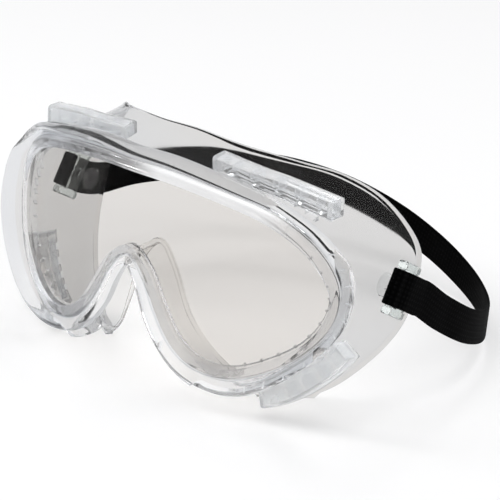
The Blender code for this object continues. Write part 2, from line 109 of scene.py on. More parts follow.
# ---------------------------------------------------------------- detail of the visual pieces

# Steps along the outline and across the body's section; the first LIP_ROWS rows are the inner lip
STATIONS_PER_POINT = 8
WALL_ROWS = 15
PROFILE_STEPS = 3
LIP_ROWS = 24
BEAD_POINTS = 9
BEAD_RADIUS = 1.25 * MM
LENS_COLUMNS = 181
LENS_SOFT = 0.35 * MM

# The band's weave: cords along it, plain selvedges, and the pitch of the picks and cords as drawn
# by its material
CORDS = 12
CORD_DEPTH = 0.07 * MM
SELVEDGE = 0.35 * MM
PICK_PITCH = 1.728 * MM
CORD_PITCH = 1.885 * MM

# Ribs of the rim: stretch of the outline and width in outline steps, reach across the rim as
# shares, and the two depths (mm in front of the lens) between which they stand
RIB_SPAN = (4.2, 8.6)
RIB_COUNT = 11
RIB_WIDE = 0.055
SHORT_RIB = (-0.08, 0.06)
LONG_RIB = (-0.34, 0.06)
LIP_LAYER = (-3.9, -2.9)
FLANGE_RIB_WIDE = 0.033
FLANGE_RIB = (0.66, 0.84)
FLANGE_LAYER = (1.9, 2.6)

# Camera: bearing round the object, height, roll and distance from the drawing frame's origin
CAMERA_AZIMUTH = math.radians(39)
CAMERA_ELEVATION = math.radians(20)
CAMERA_ROLL = math.radians(4)
CAMERA_DISTANCE = 0.750
CAMERA_LENS_MM = 148.5
# Where that origin stands in the picture, as shares of its width from the left and from the top
ORIGIN_IN_PICTURE = (0.2668, 0.3535)


def place(point):
    """Move a point from the drawing frame to the part's frame."""
    return Vector((point[0], point[1] - FRONT_SHIFT, point[2] + TABLE_DROP))


# ---------------------------------------------------------------- mesh helpers

def smooth_mesh(mesh, angle=40):
    mesh.shade_smooth()
    mesh.set_sharp_from_angle(angle=math.radians(angle))


def piece_from_bmesh(name, bm, mat, angle=40):
    bm.normal_update()
    bmesh.ops.recalc_face_normals(bm, faces=bm.faces)
    mesh = bpy.data.meshes.new(name)
    bm.to_mesh(mesh)
    bm.free()
    smooth_mesh(mesh, angle)
    mesh.materials.append(mat)
    obj = bpy.data.objects.new(name, mesh)
    bpy.context.scene.collection.objects.link(obj)
    return obj


def sweep(bm, rings, closed_run=False, caps=True):
    """Skin between rings of vertices; each ring is a closed loop."""
    made = [[bm.verts.new(p) for p in ring] for ring in rings]
    pairs = list(zip(made, made[1:]))
    if closed_run:
        pairs.append((made[-1], made[0]))
    for ring, following in pairs:
        for j in range(len(ring)):
            i = (j + 1) % len(ring)
            bm.faces.new((ring[j], ring[i], following[i], following[j]))
    if caps and not closed_run:
        bm.faces.new(made[0])
        bm.faces.new(made[-1])
    return made


def add_block(bm, corners):
    """A six-sided block from eight points: four of one end in order, then four of the other."""
    verts = [bm.verts.new(p) for p in corners]
    for face in ((0, 1, 2, 3), (7, 6, 5, 4), (0, 4, 5, 1), (1, 5, 6, 2), (2, 6, 7, 3), (3, 7, 4, 0)):
        bm.faces.new([verts[k] for k in face])
    return verts


def bevelled(obj, width, segments=2, angle=35):
    mod = obj.modifiers.new("soft_edges", "BEVEL")
    mod.width = width
    mod.segments = segments
    mod.limit_method = "ANGLE"
    mod.angle_limit = math.radians(angle)
    mod.harden_normals = False
    return obj


# ---------------------------------------------------------------- curves through points

def closed_half(points):
    half = np.array(points, float)
    mirrored = half[-2:0:-1].copy()
    mirrored[:, 0] *= -1
    return np.vstack([half, mirrored])


def closed_values(values):
    half = np.array(values, float)
    return np.concatenate([half, half[-2:0:-1]])


def catmull(before, start, end, after, t):
    return 0.5 * (2 * start + (end - before) * t + (2 * before - 5 * start + 4 * end - after) * t ** 2
                  + (3 * start - before - 3 * end + after) * t ** 3)


def on_loop(points, index):
    count = len(points)
    whole = math.floor(index)
    corner = [points[(whole + k) % count] for k in (-1, 0, 1, 2)]
    return catmull(*corner, index - whole)


def on_path(points, index):
    last = len(points) - 1
    whole = min(int(index), last - 1)
    corner = [points[min(max(whole + k, 0), last)] for k in (-1, 0, 1, 2)]
    return catmull(*corner, index - whole)


OPENING_LOOP = closed_half(OPENING) * MM
RIM_LOOP = closed_half(RIM) * MM
EDGE_LOOP = closed_half(FACE_EDGE) * MM
FLARE_OUT_LOOP = closed_half(FLARE_OUT) * MM
ROOT_LOOP = closed_values(WALL_ROOT)
FLARE_LOOP = closed_values(WALL_FLARE)
LOOP_COUNT = len(OPENING_LOOP)


# ---------------------------------------------------------------- the face body's surfaces

def on_lens(u, v, forward):
    radius = LENS_RADIUS + forward
    angle = u / LENS_RADIUS
    return Vector((radius * math.sin(angle), LENS_RADIUS - radius * math.cos(angle), v))


def rim_point(index, share, forward_mm):
    inner = on_loop(OPENING_LOOP, index)
    outer = on_loop(RIM_LOOP, index)
    u, v = inner + (outer - inner) * share
    flare = max(share - GROOVE_SHARE, 0.0) / (1.0 - GROOVE_SHARE)
    return on_lens(u, v, forward_mm * MM) + Vector(on_loop(FLARE_OUT_LOOP, index)) * flare


def wall_point(index, s):
    root = rim_point(index, float(on_loop(ROOT_LOOP, index)), -5.6)
    edge = Vector(on_loop(EDGE_LOOP, index))
    spread = max(s, 0.0) ** float(on_loop(FLARE_LOOP, index))
    return Vector((root.x + (edge.x - root.x) * spread, root.y + (edge.y - root.y) * s,
                   root.z + (edge.z - root.z) * spread))


def wall_normal(index, s):
    along = wall_point(index + 0.05, s) - wall_point(index - 0.05, s)
    back = wall_point(index, min(s + 0.02, 1.0)) - wall_point(index, max(s - 0.02, 0.0))
    return along.cross(back).normalized()


def wall_share(index, setback):
    shares = np.linspace(0, 1, 41)
    behind = []
    for s in shares:
        p = wall_point(index, s)
        lens_y = LENS_RADIUS - math.sqrt(LENS_RADIUS ** 2 - p.x ** 2)
        behind.append(p.y - lens_y)
    return float(np.interp(setback, behind, shares))


def ledge_amount(index):
    """1 where the nose-side ledge stands out of the rim, falling to 0 beside it."""
    folded = min(index % LOOP_COUNT, LOOP_COUNT - index % LOOP_COUNT)
    first, last = LEDGE_SPAN
    rise = 0.12
    return float(np.clip(min((folded - first) / rise, (last - folded) / rise) + 1, 0, 1))


def refined(profile, steps):
    """The same curve with more points on it."""
    points = np.array(profile, float)
    places = np.linspace(0, len(points) - 1, (len(points) - 1) * steps + 1)
    return [tuple(on_path(points, place)) for place in places]


FRONT_PROFILE = [(0.0, 0.3), (-0.03, 0.75), (0.02, 1.25), (0.13, 1.7), (0.25, 1.95), (0.34, 1.9),
                 (0.40, 1.35), (0.44, 0.95), (0.49, 0.95), (0.53, 1.5), (0.6, 2.1), (0.7, 2.45),
                 (0.8, 2.35), (0.9, 1.9), (0.97, 1.2), (1.0, 0.5)]
SMOOTH_PROFILE = refined(FRONT_PROFILE, PROFILE_STEPS)
PLAIN_SHOULDER = [(1.0, -0.8), (1.0, -1.4), (0.99, -2.2), (0.97, -2.9), (0.92, -3.6)]
LEDGE_SHOULDER = [(1.0, -1.6), (1.24, -2.2), (1.32, -3.0), (1.32, -4.6), (1.26, -5.3)]
CHANNEL = [(0.05, -4.1), (0.0, -3.9), (-0.02, -3.0), (0.0, -2.1), (GROOVE_SHARE, -2.1),
           (GROOVE_SHARE, 0.3)]


def body_section(index):
    """Closed cross-section of the body: lip, step, shoulder, side wall with its bead, groove."""
    amount = ledge_amount(index)
    shoulder = [(a[0] + (b[0] - a[0]) * amount, a[1] + (b[1] - a[1]) * amount)
                for a, b in zip(PLAIN_SHOULDER, LEDGE_SHOULDER)]
    points = [rim_point(index, share, forward) for share, forward in SMOOTH_PROFILE + shoulder]
    shares = np.linspace(0, 1, WALL_ROWS)
    outer = [standing(wall_point(index, s)) for s in shares]
    inner = [p - wall_normal(index, s) * WALL_THICK for p, s in zip(outer, shares)]
    points += outer[:-1] + face_bead(index, outer, inner) + inner[-2::-1]
    heel = (max(float(on_loop(ROOT_LOOP, index)) - 0.26, -0.1), -4.5)
    points += [rim_point(index, share, forward) for share, forward in [heel] + CHANNEL]
    for p in points:
        p.z = max(p.z, -TABLE_DROP)
    return points


def standing(p):
    """The soft cheeks press flat where the goggles stand on a table."""
    if p.z < FOOT_RISE - TABLE_DROP:
        p.z = -TABLE_DROP
    return p


def face_bead(index, outer, inner):
    """Rounded bead that finishes the wall where it meets the face."""
    out = (outer[-1] - inner[-1]).normalized()
    back = (outer[-1] - outer[-2]).normalized()
    middle = (outer[-1] + inner[-1]) / 2 - back * BEAD_RADIUS
    ring = []
    for angle in np.linspace(math.radians(118), math.radians(-118), BEAD_POINTS):
        ring.append(middle + out * BEAD_RADIUS * math.sin(angle) + back * BEAD_RADIUS * math.cos(angle))
    return ring


def build_face_body(rim, wall, lip):
    """The rim, the side wall and the rim's inner lip each have their own finish; the lip's carries a
    painted highlight.
    """
    bm = bmesh.new()
    stations = LOOP_COUNT * STATIONS_PER_POINT
    rings = [[place(p) for p in body_section(k / STATIONS_PER_POINT)] for k in range(stations)]
    sweep(bm, rings, closed_run=True)
    around = len(rings[0])
    wall_from = len(SMOOTH_PROFILE + PLAIN_SHOULDER) - 1
    wall_to = wall_from + 2 * WALL_ROWS + BEAD_POINTS - 1
    for number, face in enumerate(bm.faces):
        row = number % around
        if wall_from <= row < wall_to:
            face.material_index = 1
        elif row < LIP_ROWS:
            face.material_index = 2
    obj = piece_from_bmesh("soft_face_body", bm, rim, 32)
    obj.data.materials.append(wall)
    obj.data.materials.append(lip)
    for vent, sign in ((TOP_VENT, 1), (TOP_VENT, -1), (LOW_VENT, 1), (LOW_VENT, -1)):
        cut_ports(obj, vent, sign)
    return obj


def cut_ports(obj, vent, sign):
    """Slots through the wall beneath one cover."""
    bm = bmesh.new()
    for start, end in port_spans(vent):
        corners = []
        for lift in PORT_REACH:
            for index, side in ((start, -1), (start, 1), (end, 1), (end, -1)):
                corners.append(vent_point(vent, index, side * PORT_WIDE / 2, lift, sign))
        add_block(bm, corners)
    bm.normal_update()
    bmesh.ops.recalc_face_normals(bm, faces=bm.faces)
    mesh = bpy.data.meshes.new("port_cutters")
    bm.to_mesh(mesh)
    bm.free()
    cutter = bpy.data.objects.new("port_cutters", mesh)
    bpy.context.scene.collection.objects.link(cutter)
    mod = obj.modifiers.new("ports", "BOOLEAN")
    mod.operation = "DIFFERENCE"
    mod.object = cutter
    apply_modifiers(obj)
    bpy.data.objects.remove(cutter)


def apply_modifiers(obj):
    graph = bpy.context.evaluated_depsgraph_get()
    mesh = bpy.data.meshes.new_from_object(obj.evaluated_get(graph))
    obj.modifiers.clear()
    old = obj.data
    obj.data = mesh
    bpy.data.meshes.remove(old)


# ---------------------------------------------------------------- ribs inside the rim

def build_rim_ribs(mat):
    """Ribs that brace the channel: long ones on the left of the rear lip, short ones on the
    right, and fine ones on the right of the flange.
    """
    bm = bmesh.new()
    for index in np.linspace(*RIB_SPAN, RIB_COUNT):
        add_rib(bm, index, RIB_WIDE, SHORT_RIB, LIP_LAYER)
        add_rib(bm, LOOP_COUNT - index, RIB_WIDE, LONG_RIB, LIP_LAYER)
        add_rib(bm, index, FLANGE_RIB_WIDE, FLANGE_RIB, FLANGE_LAYER)
    obj = piece_from_bmesh("rim_ribs", bm, mat, 30)
    return bevelled(obj, 0.12 * MM)


def add_rib(bm, index, wide, shares, forwards):
    corners = []
    for forward in forwards:
        for k, share in ((-1, shares[0]), (-1, shares[1]), (1, shares[1]), (1, shares[0])):
            corners.append(place(rim_point(index + k * wide / 2, share, forward)))
    add_block(bm, corners)


# ---------------------------------------------------------------- lens

def lens_edges(columns):
    """Top and bottom edge of the lens at evenly turning columns from one end to the other."""
    indices = np.linspace(0, LOOP_COUNT / 2, 281)
    loop = []
    for index in indices:
        inner = on_loop(OPENING_LOOP, index)
        loop.append(inner + (on_loop(RIM_LOOP, index) - inner) * LENS_SHARE)
    loop = np.array(loop)
    tip = int(loop[:, 0].argmax())
    reach = loop[tip, 0]
    places = reach * np.sin(np.linspace(-math.pi / 2, math.pi / 2, columns))
    top = np.interp(np.abs(places), loop[:tip + 1, 0], loop[:tip + 1, 1])
    low_u = np.maximum.accumulate(loop[:tip - 1:-1, 0])
    low = np.interp(np.abs(places), low_u, loop[:tip - 1:-1, 1])
    return places, top, low


def build_lens(mat, edge_mat):
    """Curved sheet of even thickness with softened edges; its front chamfer carries painted dark shade
    towards the temple.
    """
    layers = ((0.0, LENS_SOFT), (-LENS_SOFT, 0.0), (LENS_SOFT - LENS_THICK, 0.0),
              (-LENS_THICK, LENS_SOFT))
    places, top, low = lens_edges(LENS_COLUMNS)
    outline = list(zip(places, top)) + list(zip(places[-2:0:-1], low[-2:0:-1]))
    bm = bmesh.new()
    made = []
    for forward, inset in layers:
        ring = [place(on_lens(*shrunk(outline, k, inset), forward)) for k in range(len(outline))]
        made.append([bm.verts.new(p) for p in ring])
    for layer, (ring, following) in enumerate(zip(made, made[1:])):
        for j in range(len(ring)):
            i = (j + 1) % len(ring)
            face = bm.faces.new((ring[j], ring[i], following[i], following[j]))
            face.material_index = 1 if layer == 0 else 0
    add_lens_face(bm, made[0])
    add_lens_face(bm, made[-1])
    obj = piece_from_bmesh("clear_lens", bm, mat, 30)
    obj.data.materials.append(edge_mat)
    return obj


def shrunk(outline, k, inset):
    """Point k of the outline moved inward."""
    before, here, after = (np.array(outline[j % len(outline)]) for j in (k - 1, k, k + 1))
    run = after - before
    return here + np.array([run[1], -run[0]]) / max(np.hypot(*run), 1e-9) * inset


def add_lens_face(bm, ring):
    """Fill one face of the lens in upright columns, so that it follows the cylinder."""
    count = len(ring)
    last = count // 2
    for k in range(last):
        corners = [ring[k], ring[k + 1], ring[(count - k - 1) % count], ring[(count - k) % count]]
        unique = []
        for vert in corners:
            if vert not in unique:
                unique.append(vert)
        bm.faces.new(unique)


# ---------------------------------------------------------------- vents

def vent_share(vent, index, depth):
    """Place on the wall (0..1) that is depth behind the front edge of the vent."""
    setback = float(np.interp(index, vent["span"], vent["setback"]))
    return wall_share(index, setback + depth)


def vent_middle(vent, index):
    return wall_point(index, vent_share(vent, index, VENT_DEPTH / 2))


def vent_frame(vent, index):
    """Middle of the vent on the wall with its outward and rearward directions."""
    held = min(index, vent["straight_from"])
    front = wall_point(held, vent_share(vent, held, 0.0))
    rear = wall_point(held, vent_share(vent, held, VENT_DEPTH))
    back = (rear - front).normalized()
    out = wall_normal(held, vent_share(vent, held, VENT_DEPTH / 2))
    out = out.lerp(Vector((0, 0, 1)), vent["upright"])
    out = (out - back * out.dot(back)).normalized()
    middle = vent_middle(vent, held)
    ahead = (middle - vent_middle(vent, held - 0.1)) / 0.1
    return middle + ahead * (index - held), out, back


FRAMES = {}


def vent_point(vent, index, along_back, lift, sign):
    key = (vent["setback"], round(float(index), 5))
    if key not in FRAMES:
        FRAMES[key] = vent_frame(vent, index)
    middle, out, back = FRAMES[key]
    p = place(middle + back * along_back + out * lift)
    return Vector((sign * p.x, p.y, p.z))


def port_spans(vent):
    first, last = vent["span"]
    inset = 0.1 * (last - first)
    first, last = first + inset, last - inset
    step = (last - first) / (PORTS * 4 + 1)
    return [(first + (4 * k + 1.5) * step, first + (4 * k + 3.5) * step) for k in range(PORTS)]


def build_cover(name, vent, sign, mat):
    """Moulded hood with rounded shoulders, open towards the wall."""
    bm = bmesh.new()
    rings = []
    first, last = vent["span"]
    for index in np.linspace(first, last, 41):
        outer = cover_outline(cover_height(vent, index))
        rings.append([vent_point(vent, index, a, h, sign) for a, h in outer])
    made = [[bm.verts.new(p) for p in ring] for ring in rings]
    for ring, following in zip(made, made[1:]):
        for j in range(len(outer) - 1):
            bm.faces.new((ring[j], ring[j + 1], following[j + 1], following[j]))
    for ring in (made[0], made[-1]):
        bm.faces.new(ring)
    obj = piece_from_bmesh(name, bm, mat, 40)
    shell = obj.modifiers.new("thickness", "SOLIDIFY")
    shell.thickness = COVER_THICK
    shell.offset = -1.0
    shell.use_even_offset = True
    bevelled(obj, 0.3 * MM, 2, 50)
    apply_modifiers(obj)
    smooth_mesh(obj.data, 40)
    return obj


def cover_height(vent, index):
    return float(np.interp(index, vent["span"], vent["height"]))


def cover_outline(top):
    """Section of a cover with rounded shoulders, as (back, height) pairs."""
    half = VENT_DEPTH / 2
    turn = np.radians([0, 30, 60, 90])
    short = [(COVER_ROUND * (1 - math.cos(a)), COVER_ROUND * (1 - math.sin(a))) for a in turn]
    outer = [(-half, VENT_LIFT)]
    outer += [(back - half, top - drop) for back, drop in short]
    outer += [(half - drop, top - back) for back, drop in short]
    return outer + [(half, VENT_LIFT)]


def build_cover_ribs(name, vent, sign, mat):
    """Pairs of thin ribs across the inside of a cover, and a block at each end."""
    half = VENT_DEPTH / 2 - COVER_THICK - 0.1 * MM
    low = VENT_LIFT + 2.2 * MM
    first, last = vent["span"]
    run = last - first
    bm = bmesh.new()
    for start, end in port_spans(vent):
        for middle in (start - 0.025 * run, end + 0.025 * run):
            add_vent_block(bm, vent, sign, middle, 0.006 * run, (-half, half), low)
    for middle in (first + 0.035 * run, last - 0.035 * run):
        add_vent_block(bm, vent, sign, middle, 0.018 * run, (-half, half), VENT_LIFT)
    obj = piece_from_bmesh(name, bm, mat, 30)
    return bevelled(obj, 0.15 * MM)


def add_vent_block(bm, vent, sign, middle, half_run, across, low):
    lifts = (low, cover_height(vent, middle) - COVER_THICK - 0.1 * MM)
    corners = []
    for index in (middle - half_run, middle + half_run):
        corners += [vent_point(vent, index, across[0], lifts[0], sign),
                    vent_point(vent, index, across[1], lifts[0], sign),
                    vent_point(vent, index, across[1], lifts[1], sign),
                    vent_point(vent, index, across[0], lifts[1], sign)]
    add_block(bm, corners)


# ---------------------------------------------------------------- headband

def clip_frame(side):
    out = Vector((side, 0, 0))
    back = Vector((0, math.cos(DROOP), -math.sin(DROOP)))
    up = Vector((0, math.sin(DROOP), math.cos(DROOP)))
    origin = place(PIVOT)
    rows = [(out[k], back[k], up[k], origin[k]) for k in range(3)]
    return Matrix((*rows, (0, 0, 0, 1)))


def threading_points(side):
    matrix = clip_frame(side)
    points = [matrix @ Vector((CLIP_X + out * MM, back * MM, 0)) for out, back in THREADING]
    return points, matrix.to_3x3() @ Vector((0, 0, 1))


def headband_route():
    """Centre line of the band, its direction and its width direction at each step."""
    right, up = threading_points(1)
    left, _ = threading_points(-1)
    free = [place(Vector(p) * MM) for p in BACK_RUN]
    points = [np.array(p) for p in right + free + left[::-1]]
    held = len(right)
    last = len(points) - 1
    route = []
    for k in range(last):
        steps = 6 if k < held or k >= last - held else 14
        route += [(Vector(on_path(points, k + j / steps)), k) for j in range(steps)]
    route.append((Vector(points[-1]), last))
    result = []
    for j, (point, k) in enumerate(route):
        ahead = route[min(j + 1, len(route) - 1)][0]
        behind = route[max(j - 1, 0)][0]
        tangent = (ahead - behind).normalized()
        wide = up if k < held - 1 or k > last - held else Vector((0, 0, 1))
        wide = (wide - tangent * wide.dot(tangent)).normalized()
        result.append((point, tangent, wide))
    return result


def band_outline():
    """Cross-section of the woven band: corded faces and rounded selvedges, as (across, out)."""
    half = BAND_WIDE / 2
    thick = BAND_THICK / 2
    top = []
    for k in range(CORDS * 4 + 1):
        share = k / (CORDS * 4)
        across = (share * 2 - 1) * (half - SELVEDGE)
        dip = CORD_DEPTH * (1 - abs(math.sin(math.pi * share * CORDS)))
        top.append((across, thick - dip))
    edge = [(half - 0.08 * MM, thick * 0.55), (half, 0.0), (half - 0.08 * MM, -thick * 0.55)]
    under = [(a, -t) for a, t in reversed(top)]
    other = [(-a, t) for a, t in reversed(edge)]
    return top + edge + under + other


def build_headband(mat):
    bm = bmesh.new()
    outline = band_outline()
    layer = bm.loops.layers.uv.new("weave")
    rings, runs = [], []
    distance = 0.0
    before = None
    for point, tangent, wide in headband_route():
        thick = tangent.cross(wide).normalized()
        if before is not None:
            distance += (point - before).length
        before = point
        rings.append([bm.verts.new(point + wide * a + thick * t) for a, t in outline])
        runs.append(distance)
    across = girth(outline)
    for r in range(len(rings) - 1):
        for j in range(len(outline)):
            i = (j + 1) % len(outline)
            face = bm.faces.new((rings[r][j], rings[r][i], rings[r + 1][i], rings[r + 1][j]))
            places = ((runs[r], across[j]), (runs[r], across[j + 1]),
                      (runs[r + 1], across[j + 1]), (runs[r + 1], across[j]))
            for loop, uv in zip(face.loops, places):
                loop[layer].uv = uv
    bm.faces.new(rings[0])
    bm.faces.new(rings[-1])
    return piece_from_bmesh("woven_headband", bm, mat, 60)


def girth(outline):
    total = [0.0]
    for k in range(len(outline)):
        a, b = outline[k], outline[(k + 1) % len(outline)]
        total.append(total[-1] + math.dist(a, b))
    return total


# ---------------------------------------------------------------- materials

def new_material(name):
    mat = bpy.data.materials.new(name)
    mat.use_nodes = True
    tree = mat.node_tree
    return mat, tree, tree.nodes["Principled BSDF"]


def noise(tree, coords, scale, detail=3.0, roughness=0.5):
    node = tree.nodes.new("ShaderNodeTexNoise")
    node.inputs["Scale"].default_value = scale
    node.inputs["Detail"].default_value = detail
    node.inputs["Roughness"].default_value = roughness
    tree.links.new(coords, node.inputs["Vector"])
    return node.outputs["Fac"]


def ranged(tree, value, low, high):
    node = tree.nodes.new("ShaderNodeMapRange")
    node.inputs["To Min"].default_value = low
    node.inputs["To Max"].default_value = high
    node.inputs["From Min"].default_value = 0.3
    node.inputs["From Max"].default_value = 0.7
    tree.links.new(value, node.inputs["Value"])
    return node.outputs["Result"]


def mixed(tree, factor, first, second):
    node = tree.nodes.new("ShaderNodeMix")
    node.data_type = "RGBA"
    node.inputs["A"].default_value = (*first, 1)
    node.inputs["B"].default_value = (*second, 1)
    tree.links.new(factor, node.inputs["Factor"])
    return node.outputs["Result"]


def bump(tree, height, strength, distance):
    node = tree.nodes.new("ShaderNodeBump")
    node.inputs["Strength"].default_value = strength
    node.inputs["Distance"].default_value = distance
    tree.links.new(height, node.inputs["Height"])
    return node.outputs["Normal"]


def let_light_through(tree, shader, colour):
    """Shadow rays pass with a tint, so that the clear piece doesn't blacken what is under it."""
    path = tree.nodes.new("ShaderNodeLightPath")
    clear = tree.nodes.new("ShaderNodeBsdfTransparent")
    clear.inputs["Color"].default_value = (*colour, 1)
    mix = tree.nodes.new("ShaderNodeMixShader")
    tree.links.new(path.outputs["Is Shadow Ray"], mix.inputs["Fac"])
    tree.links.new(shader.outputs["BSDF"], mix.inputs[1])
    tree.links.new(clear.outputs["BSDF"], mix.inputs[2])
    tree.links.new(mix.outputs["Shader"], tree.nodes["Material Output"].inputs["Surface"])


def clear_material(name, look):
    """Clear plastic: tinted at its edges, faintly uneven, with rubbed and smooth patches."""
    mat, tree, shader = new_material(name)
    coords = tree.nodes.new("ShaderNodeTexCoord").outputs["Object"]
    weight = tree.nodes.new("ShaderNodeLayerWeight")
    weight.inputs["Blend"].default_value = look["edge_blend"]
    colour = mixed(tree, weight.outputs["Facing"], look["colour"], look["edge"])
    if "patch" in look:
        colour = patched(tree, colour, *look["patch"])
    tree.links.new(colour, shader.inputs["Base Color"])
    rubbed = noise(tree, coords, look["patch_scale"])
    tree.links.new(ranged(tree, rubbed, *look["roughness"]), shader.inputs["Roughness"])
    uneven = noise(tree, coords, look["ripple_scale"], 2.0)
    tree.links.new(bump(tree, uneven, look["ripple"], 0.0006), shader.inputs["Normal"])
    shader.inputs["Transmission Weight"].default_value = look["transmission"]
    shader.inputs["IOR"].default_value = look["ior"]
    let_light_through(tree, shader, look["shadow"])
    return mat


def between(tree, value, start, full):
    """0 at start rising smoothly to 1 at full."""
    node = tree.nodes.new("ShaderNodeMapRange")
    node.interpolation_type = "SMOOTHSTEP"
    node.inputs["From Min"].default_value = start
    node.inputs["From Max"].default_value = full
    tree.links.new(value, node.inputs["Value"])
    return node.outputs["Result"]


def patched(tree, colour, limits, other):
    """Change to another tint inside a zone."""
    node = tree.nodes.new("ShaderNodeMix")
    node.data_type = "RGBA"
    tree.links.new(colour, node.inputs["A"])
    node.inputs["B"].default_value = (*other, 1)
    tree.links.new(zone(tree, limits), node.inputs["Factor"])
    return node.outputs["Result"]


def times(tree, *values):
    total = values[0]
    for value in values[1:]:
        node = tree.nodes.new("ShaderNodeMath")
        node.operation = "MULTIPLY"
        for socket, item in zip(node.inputs, (total, value)):
            if isinstance(item, float):
                socket.default_value = item
            else:
                tree.links.new(item, socket)
        total = node.outputs["Value"]
    return total


def zone(tree, limits):
    """Mask from object coordinates, full where every limit is."""
    split = tree.nodes.new("ShaderNodeSeparateXYZ")
    tree.links.new(tree.nodes.new("ShaderNodeTexCoord").outputs["Object"], split.inputs["Vector"])
    return times(tree, *[between(tree, split.outputs[axis], a, b) for axis, a, b in limits])


def veiled(mat, colour, roughness, factor):
    """Lay a dense film of one colour over a clear material where factor(tree) is high."""
    tree = mat.node_tree
    out = tree.nodes["Material Output"].inputs["Surface"]
    clear = out.links[0].from_socket
    film = tree.nodes.new("ShaderNodeBsdfPrincipled")
    film.inputs["Base Color"].default_value = (*colour, 1)
    film.inputs["Roughness"].default_value = roughness
    mix = tree.nodes.new("ShaderNodeMixShader")
    tree.links.new(factor(tree), mix.inputs["Fac"])
    tree.links.new(clear, mix.inputs[1])
    tree.links.new(film.outputs["BSDF"], mix.inputs[2])
    tree.links.new(mix.outputs["Shader"], out)
    return mat


def painted_lip_highlight(tree):
    """Painted highlight: a white film over the upper lip above the right eye, standing in for the light
    it catches.
    """
    return times(tree, zone(tree, LIP_PAINTED_HIGHLIGHT_ZONE), 0.9)


def half_dense(tree):
    """Patchy haze of the moulded ribs."""
    coords = tree.nodes.new("ShaderNodeTexCoord").outputs["Object"]
    return ranged(tree, noise(tree, coords, 120.0), 0.3, 0.6)


def lightly_misted(tree):
    """The same haze, thinner, on the covers and the ribs inside them."""
    return times(tree, half_dense(tree), 0.42)


def painted_edge_shade(tree):
    """Painted shade: a dark film on the lens's front chamfer, darkest towards the temple."""
    return times(tree, zone(tree, PAINTED_EDGE_SHADE_ZONE), 0.95)


# Zones are (axis, where the mask starts, where it is full) in metres
# The wall round the nose takes a lighter tint and the far side of the rim a darker blue-grey one.
NOSE_ZONE = (("X", 0.030, 0.018), ("X", -0.030, -0.018), ("Z", 0.070, 0.058))
FAR_ZONE = (("X", -0.048, -0.074),)
# Where the painted highlight lies on the upper lip
LIP_PAINTED_HIGHLIGHT_ZONE = (("X", -0.004, 0.014), ("X", 0.066, 0.048), ("Z", 0.072, 0.080))
# Where the painted shade lies on the lens's front chamfer
PAINTED_EDGE_SHADE_ZONE = (("X", 0.030, 0.046), ("Z", 0.030, 0.045))

RIM_VINYL = {"patch": (FAR_ZONE, (0.79, 0.797, 0.812)),
             "colour": (0.953, 0.951, 0.95), "edge": (0.70, 0.75, 0.82), "edge_blend": 0.38,
             "patch_scale": 45.0, "roughness": (0.05, 0.12), "ripple_scale": 60.0, "ripple": 0.015,
             "transmission": 0.97, "ior": 1.18, "shadow": (0.97, 0.97, 0.97)}
WALL_VINYL = {"patch": (NOSE_ZONE, (0.88, 0.872, 0.86)),
              "colour": (0.718, 0.702, 0.682), "edge": (0.70, 0.73, 0.77), "edge_blend": 0.3,
              "patch_scale": 45.0, "roughness": (0.04, 0.11), "ripple_scale": 50.0, "ripple": 0.03,
              "transmission": 0.99, "ior": 1.07, "shadow": (0.96, 0.96, 0.96)}
POLISHED = {"colour": (0.755, 0.73, 0.703), "edge": (0.72, 0.74, 0.76), "edge_blend": 0.15,
            "patch_scale": 30.0, "roughness": (0.015, 0.05), "ripple_scale": 25.0, "ripple": 0.01,
            "transmission": 1.0, "ior": 1.05, "shadow": (0.96, 0.955, 0.95)}
MOULDED = {"colour": (0.97, 0.97, 0.967), "edge": (0.80, 0.84, 0.88), "edge_blend": 0.3,
           "patch_scale": 60.0, "roughness": (0.04, 0.1), "ripple_scale": 40.0, "ripple": 0.01,
           "transmission": 0.97, "ior": 1.21, "shadow": (0.97, 0.97, 0.97)}
INNER = {"colour": (0.965, 0.965, 0.965), "edge": (0.72, 0.80, 0.88), "edge_blend": 0.35,
         "patch_scale": 60.0, "roughness": (0.06, 0.12), "ripple_scale": 40.0, "ripple": 0.01,
         "transmission": 0.97, "ior": 1.12, "shadow": (0.98, 0.98, 0.98)}
STUD = {"colour": (0.985, 0.985, 0.985), "edge": (0.90, 0.93, 0.94), "edge_blend": 0.25,
        "patch_scale": 60.0, "roughness": (0.06, 0.12), "ripple_scale": 40.0, "ripple": 0.01,
        "transmission": 0.98, "ior": 1.06, "shadow": (0.98, 0.98, 0.98)}
GREENISH = {"colour": (0.90, 0.94, 0.925), "edge": (0.66, 0.77, 0.75), "edge_blend": 0.3,
            "patch_scale": 80.0, "roughness": (0.03, 0.09), "ripple_scale": 60.0, "ripple": 0.02,
            "transmission": 0.97, "ior": 1.38, "shadow": (0.95, 0.96, 0.955)}


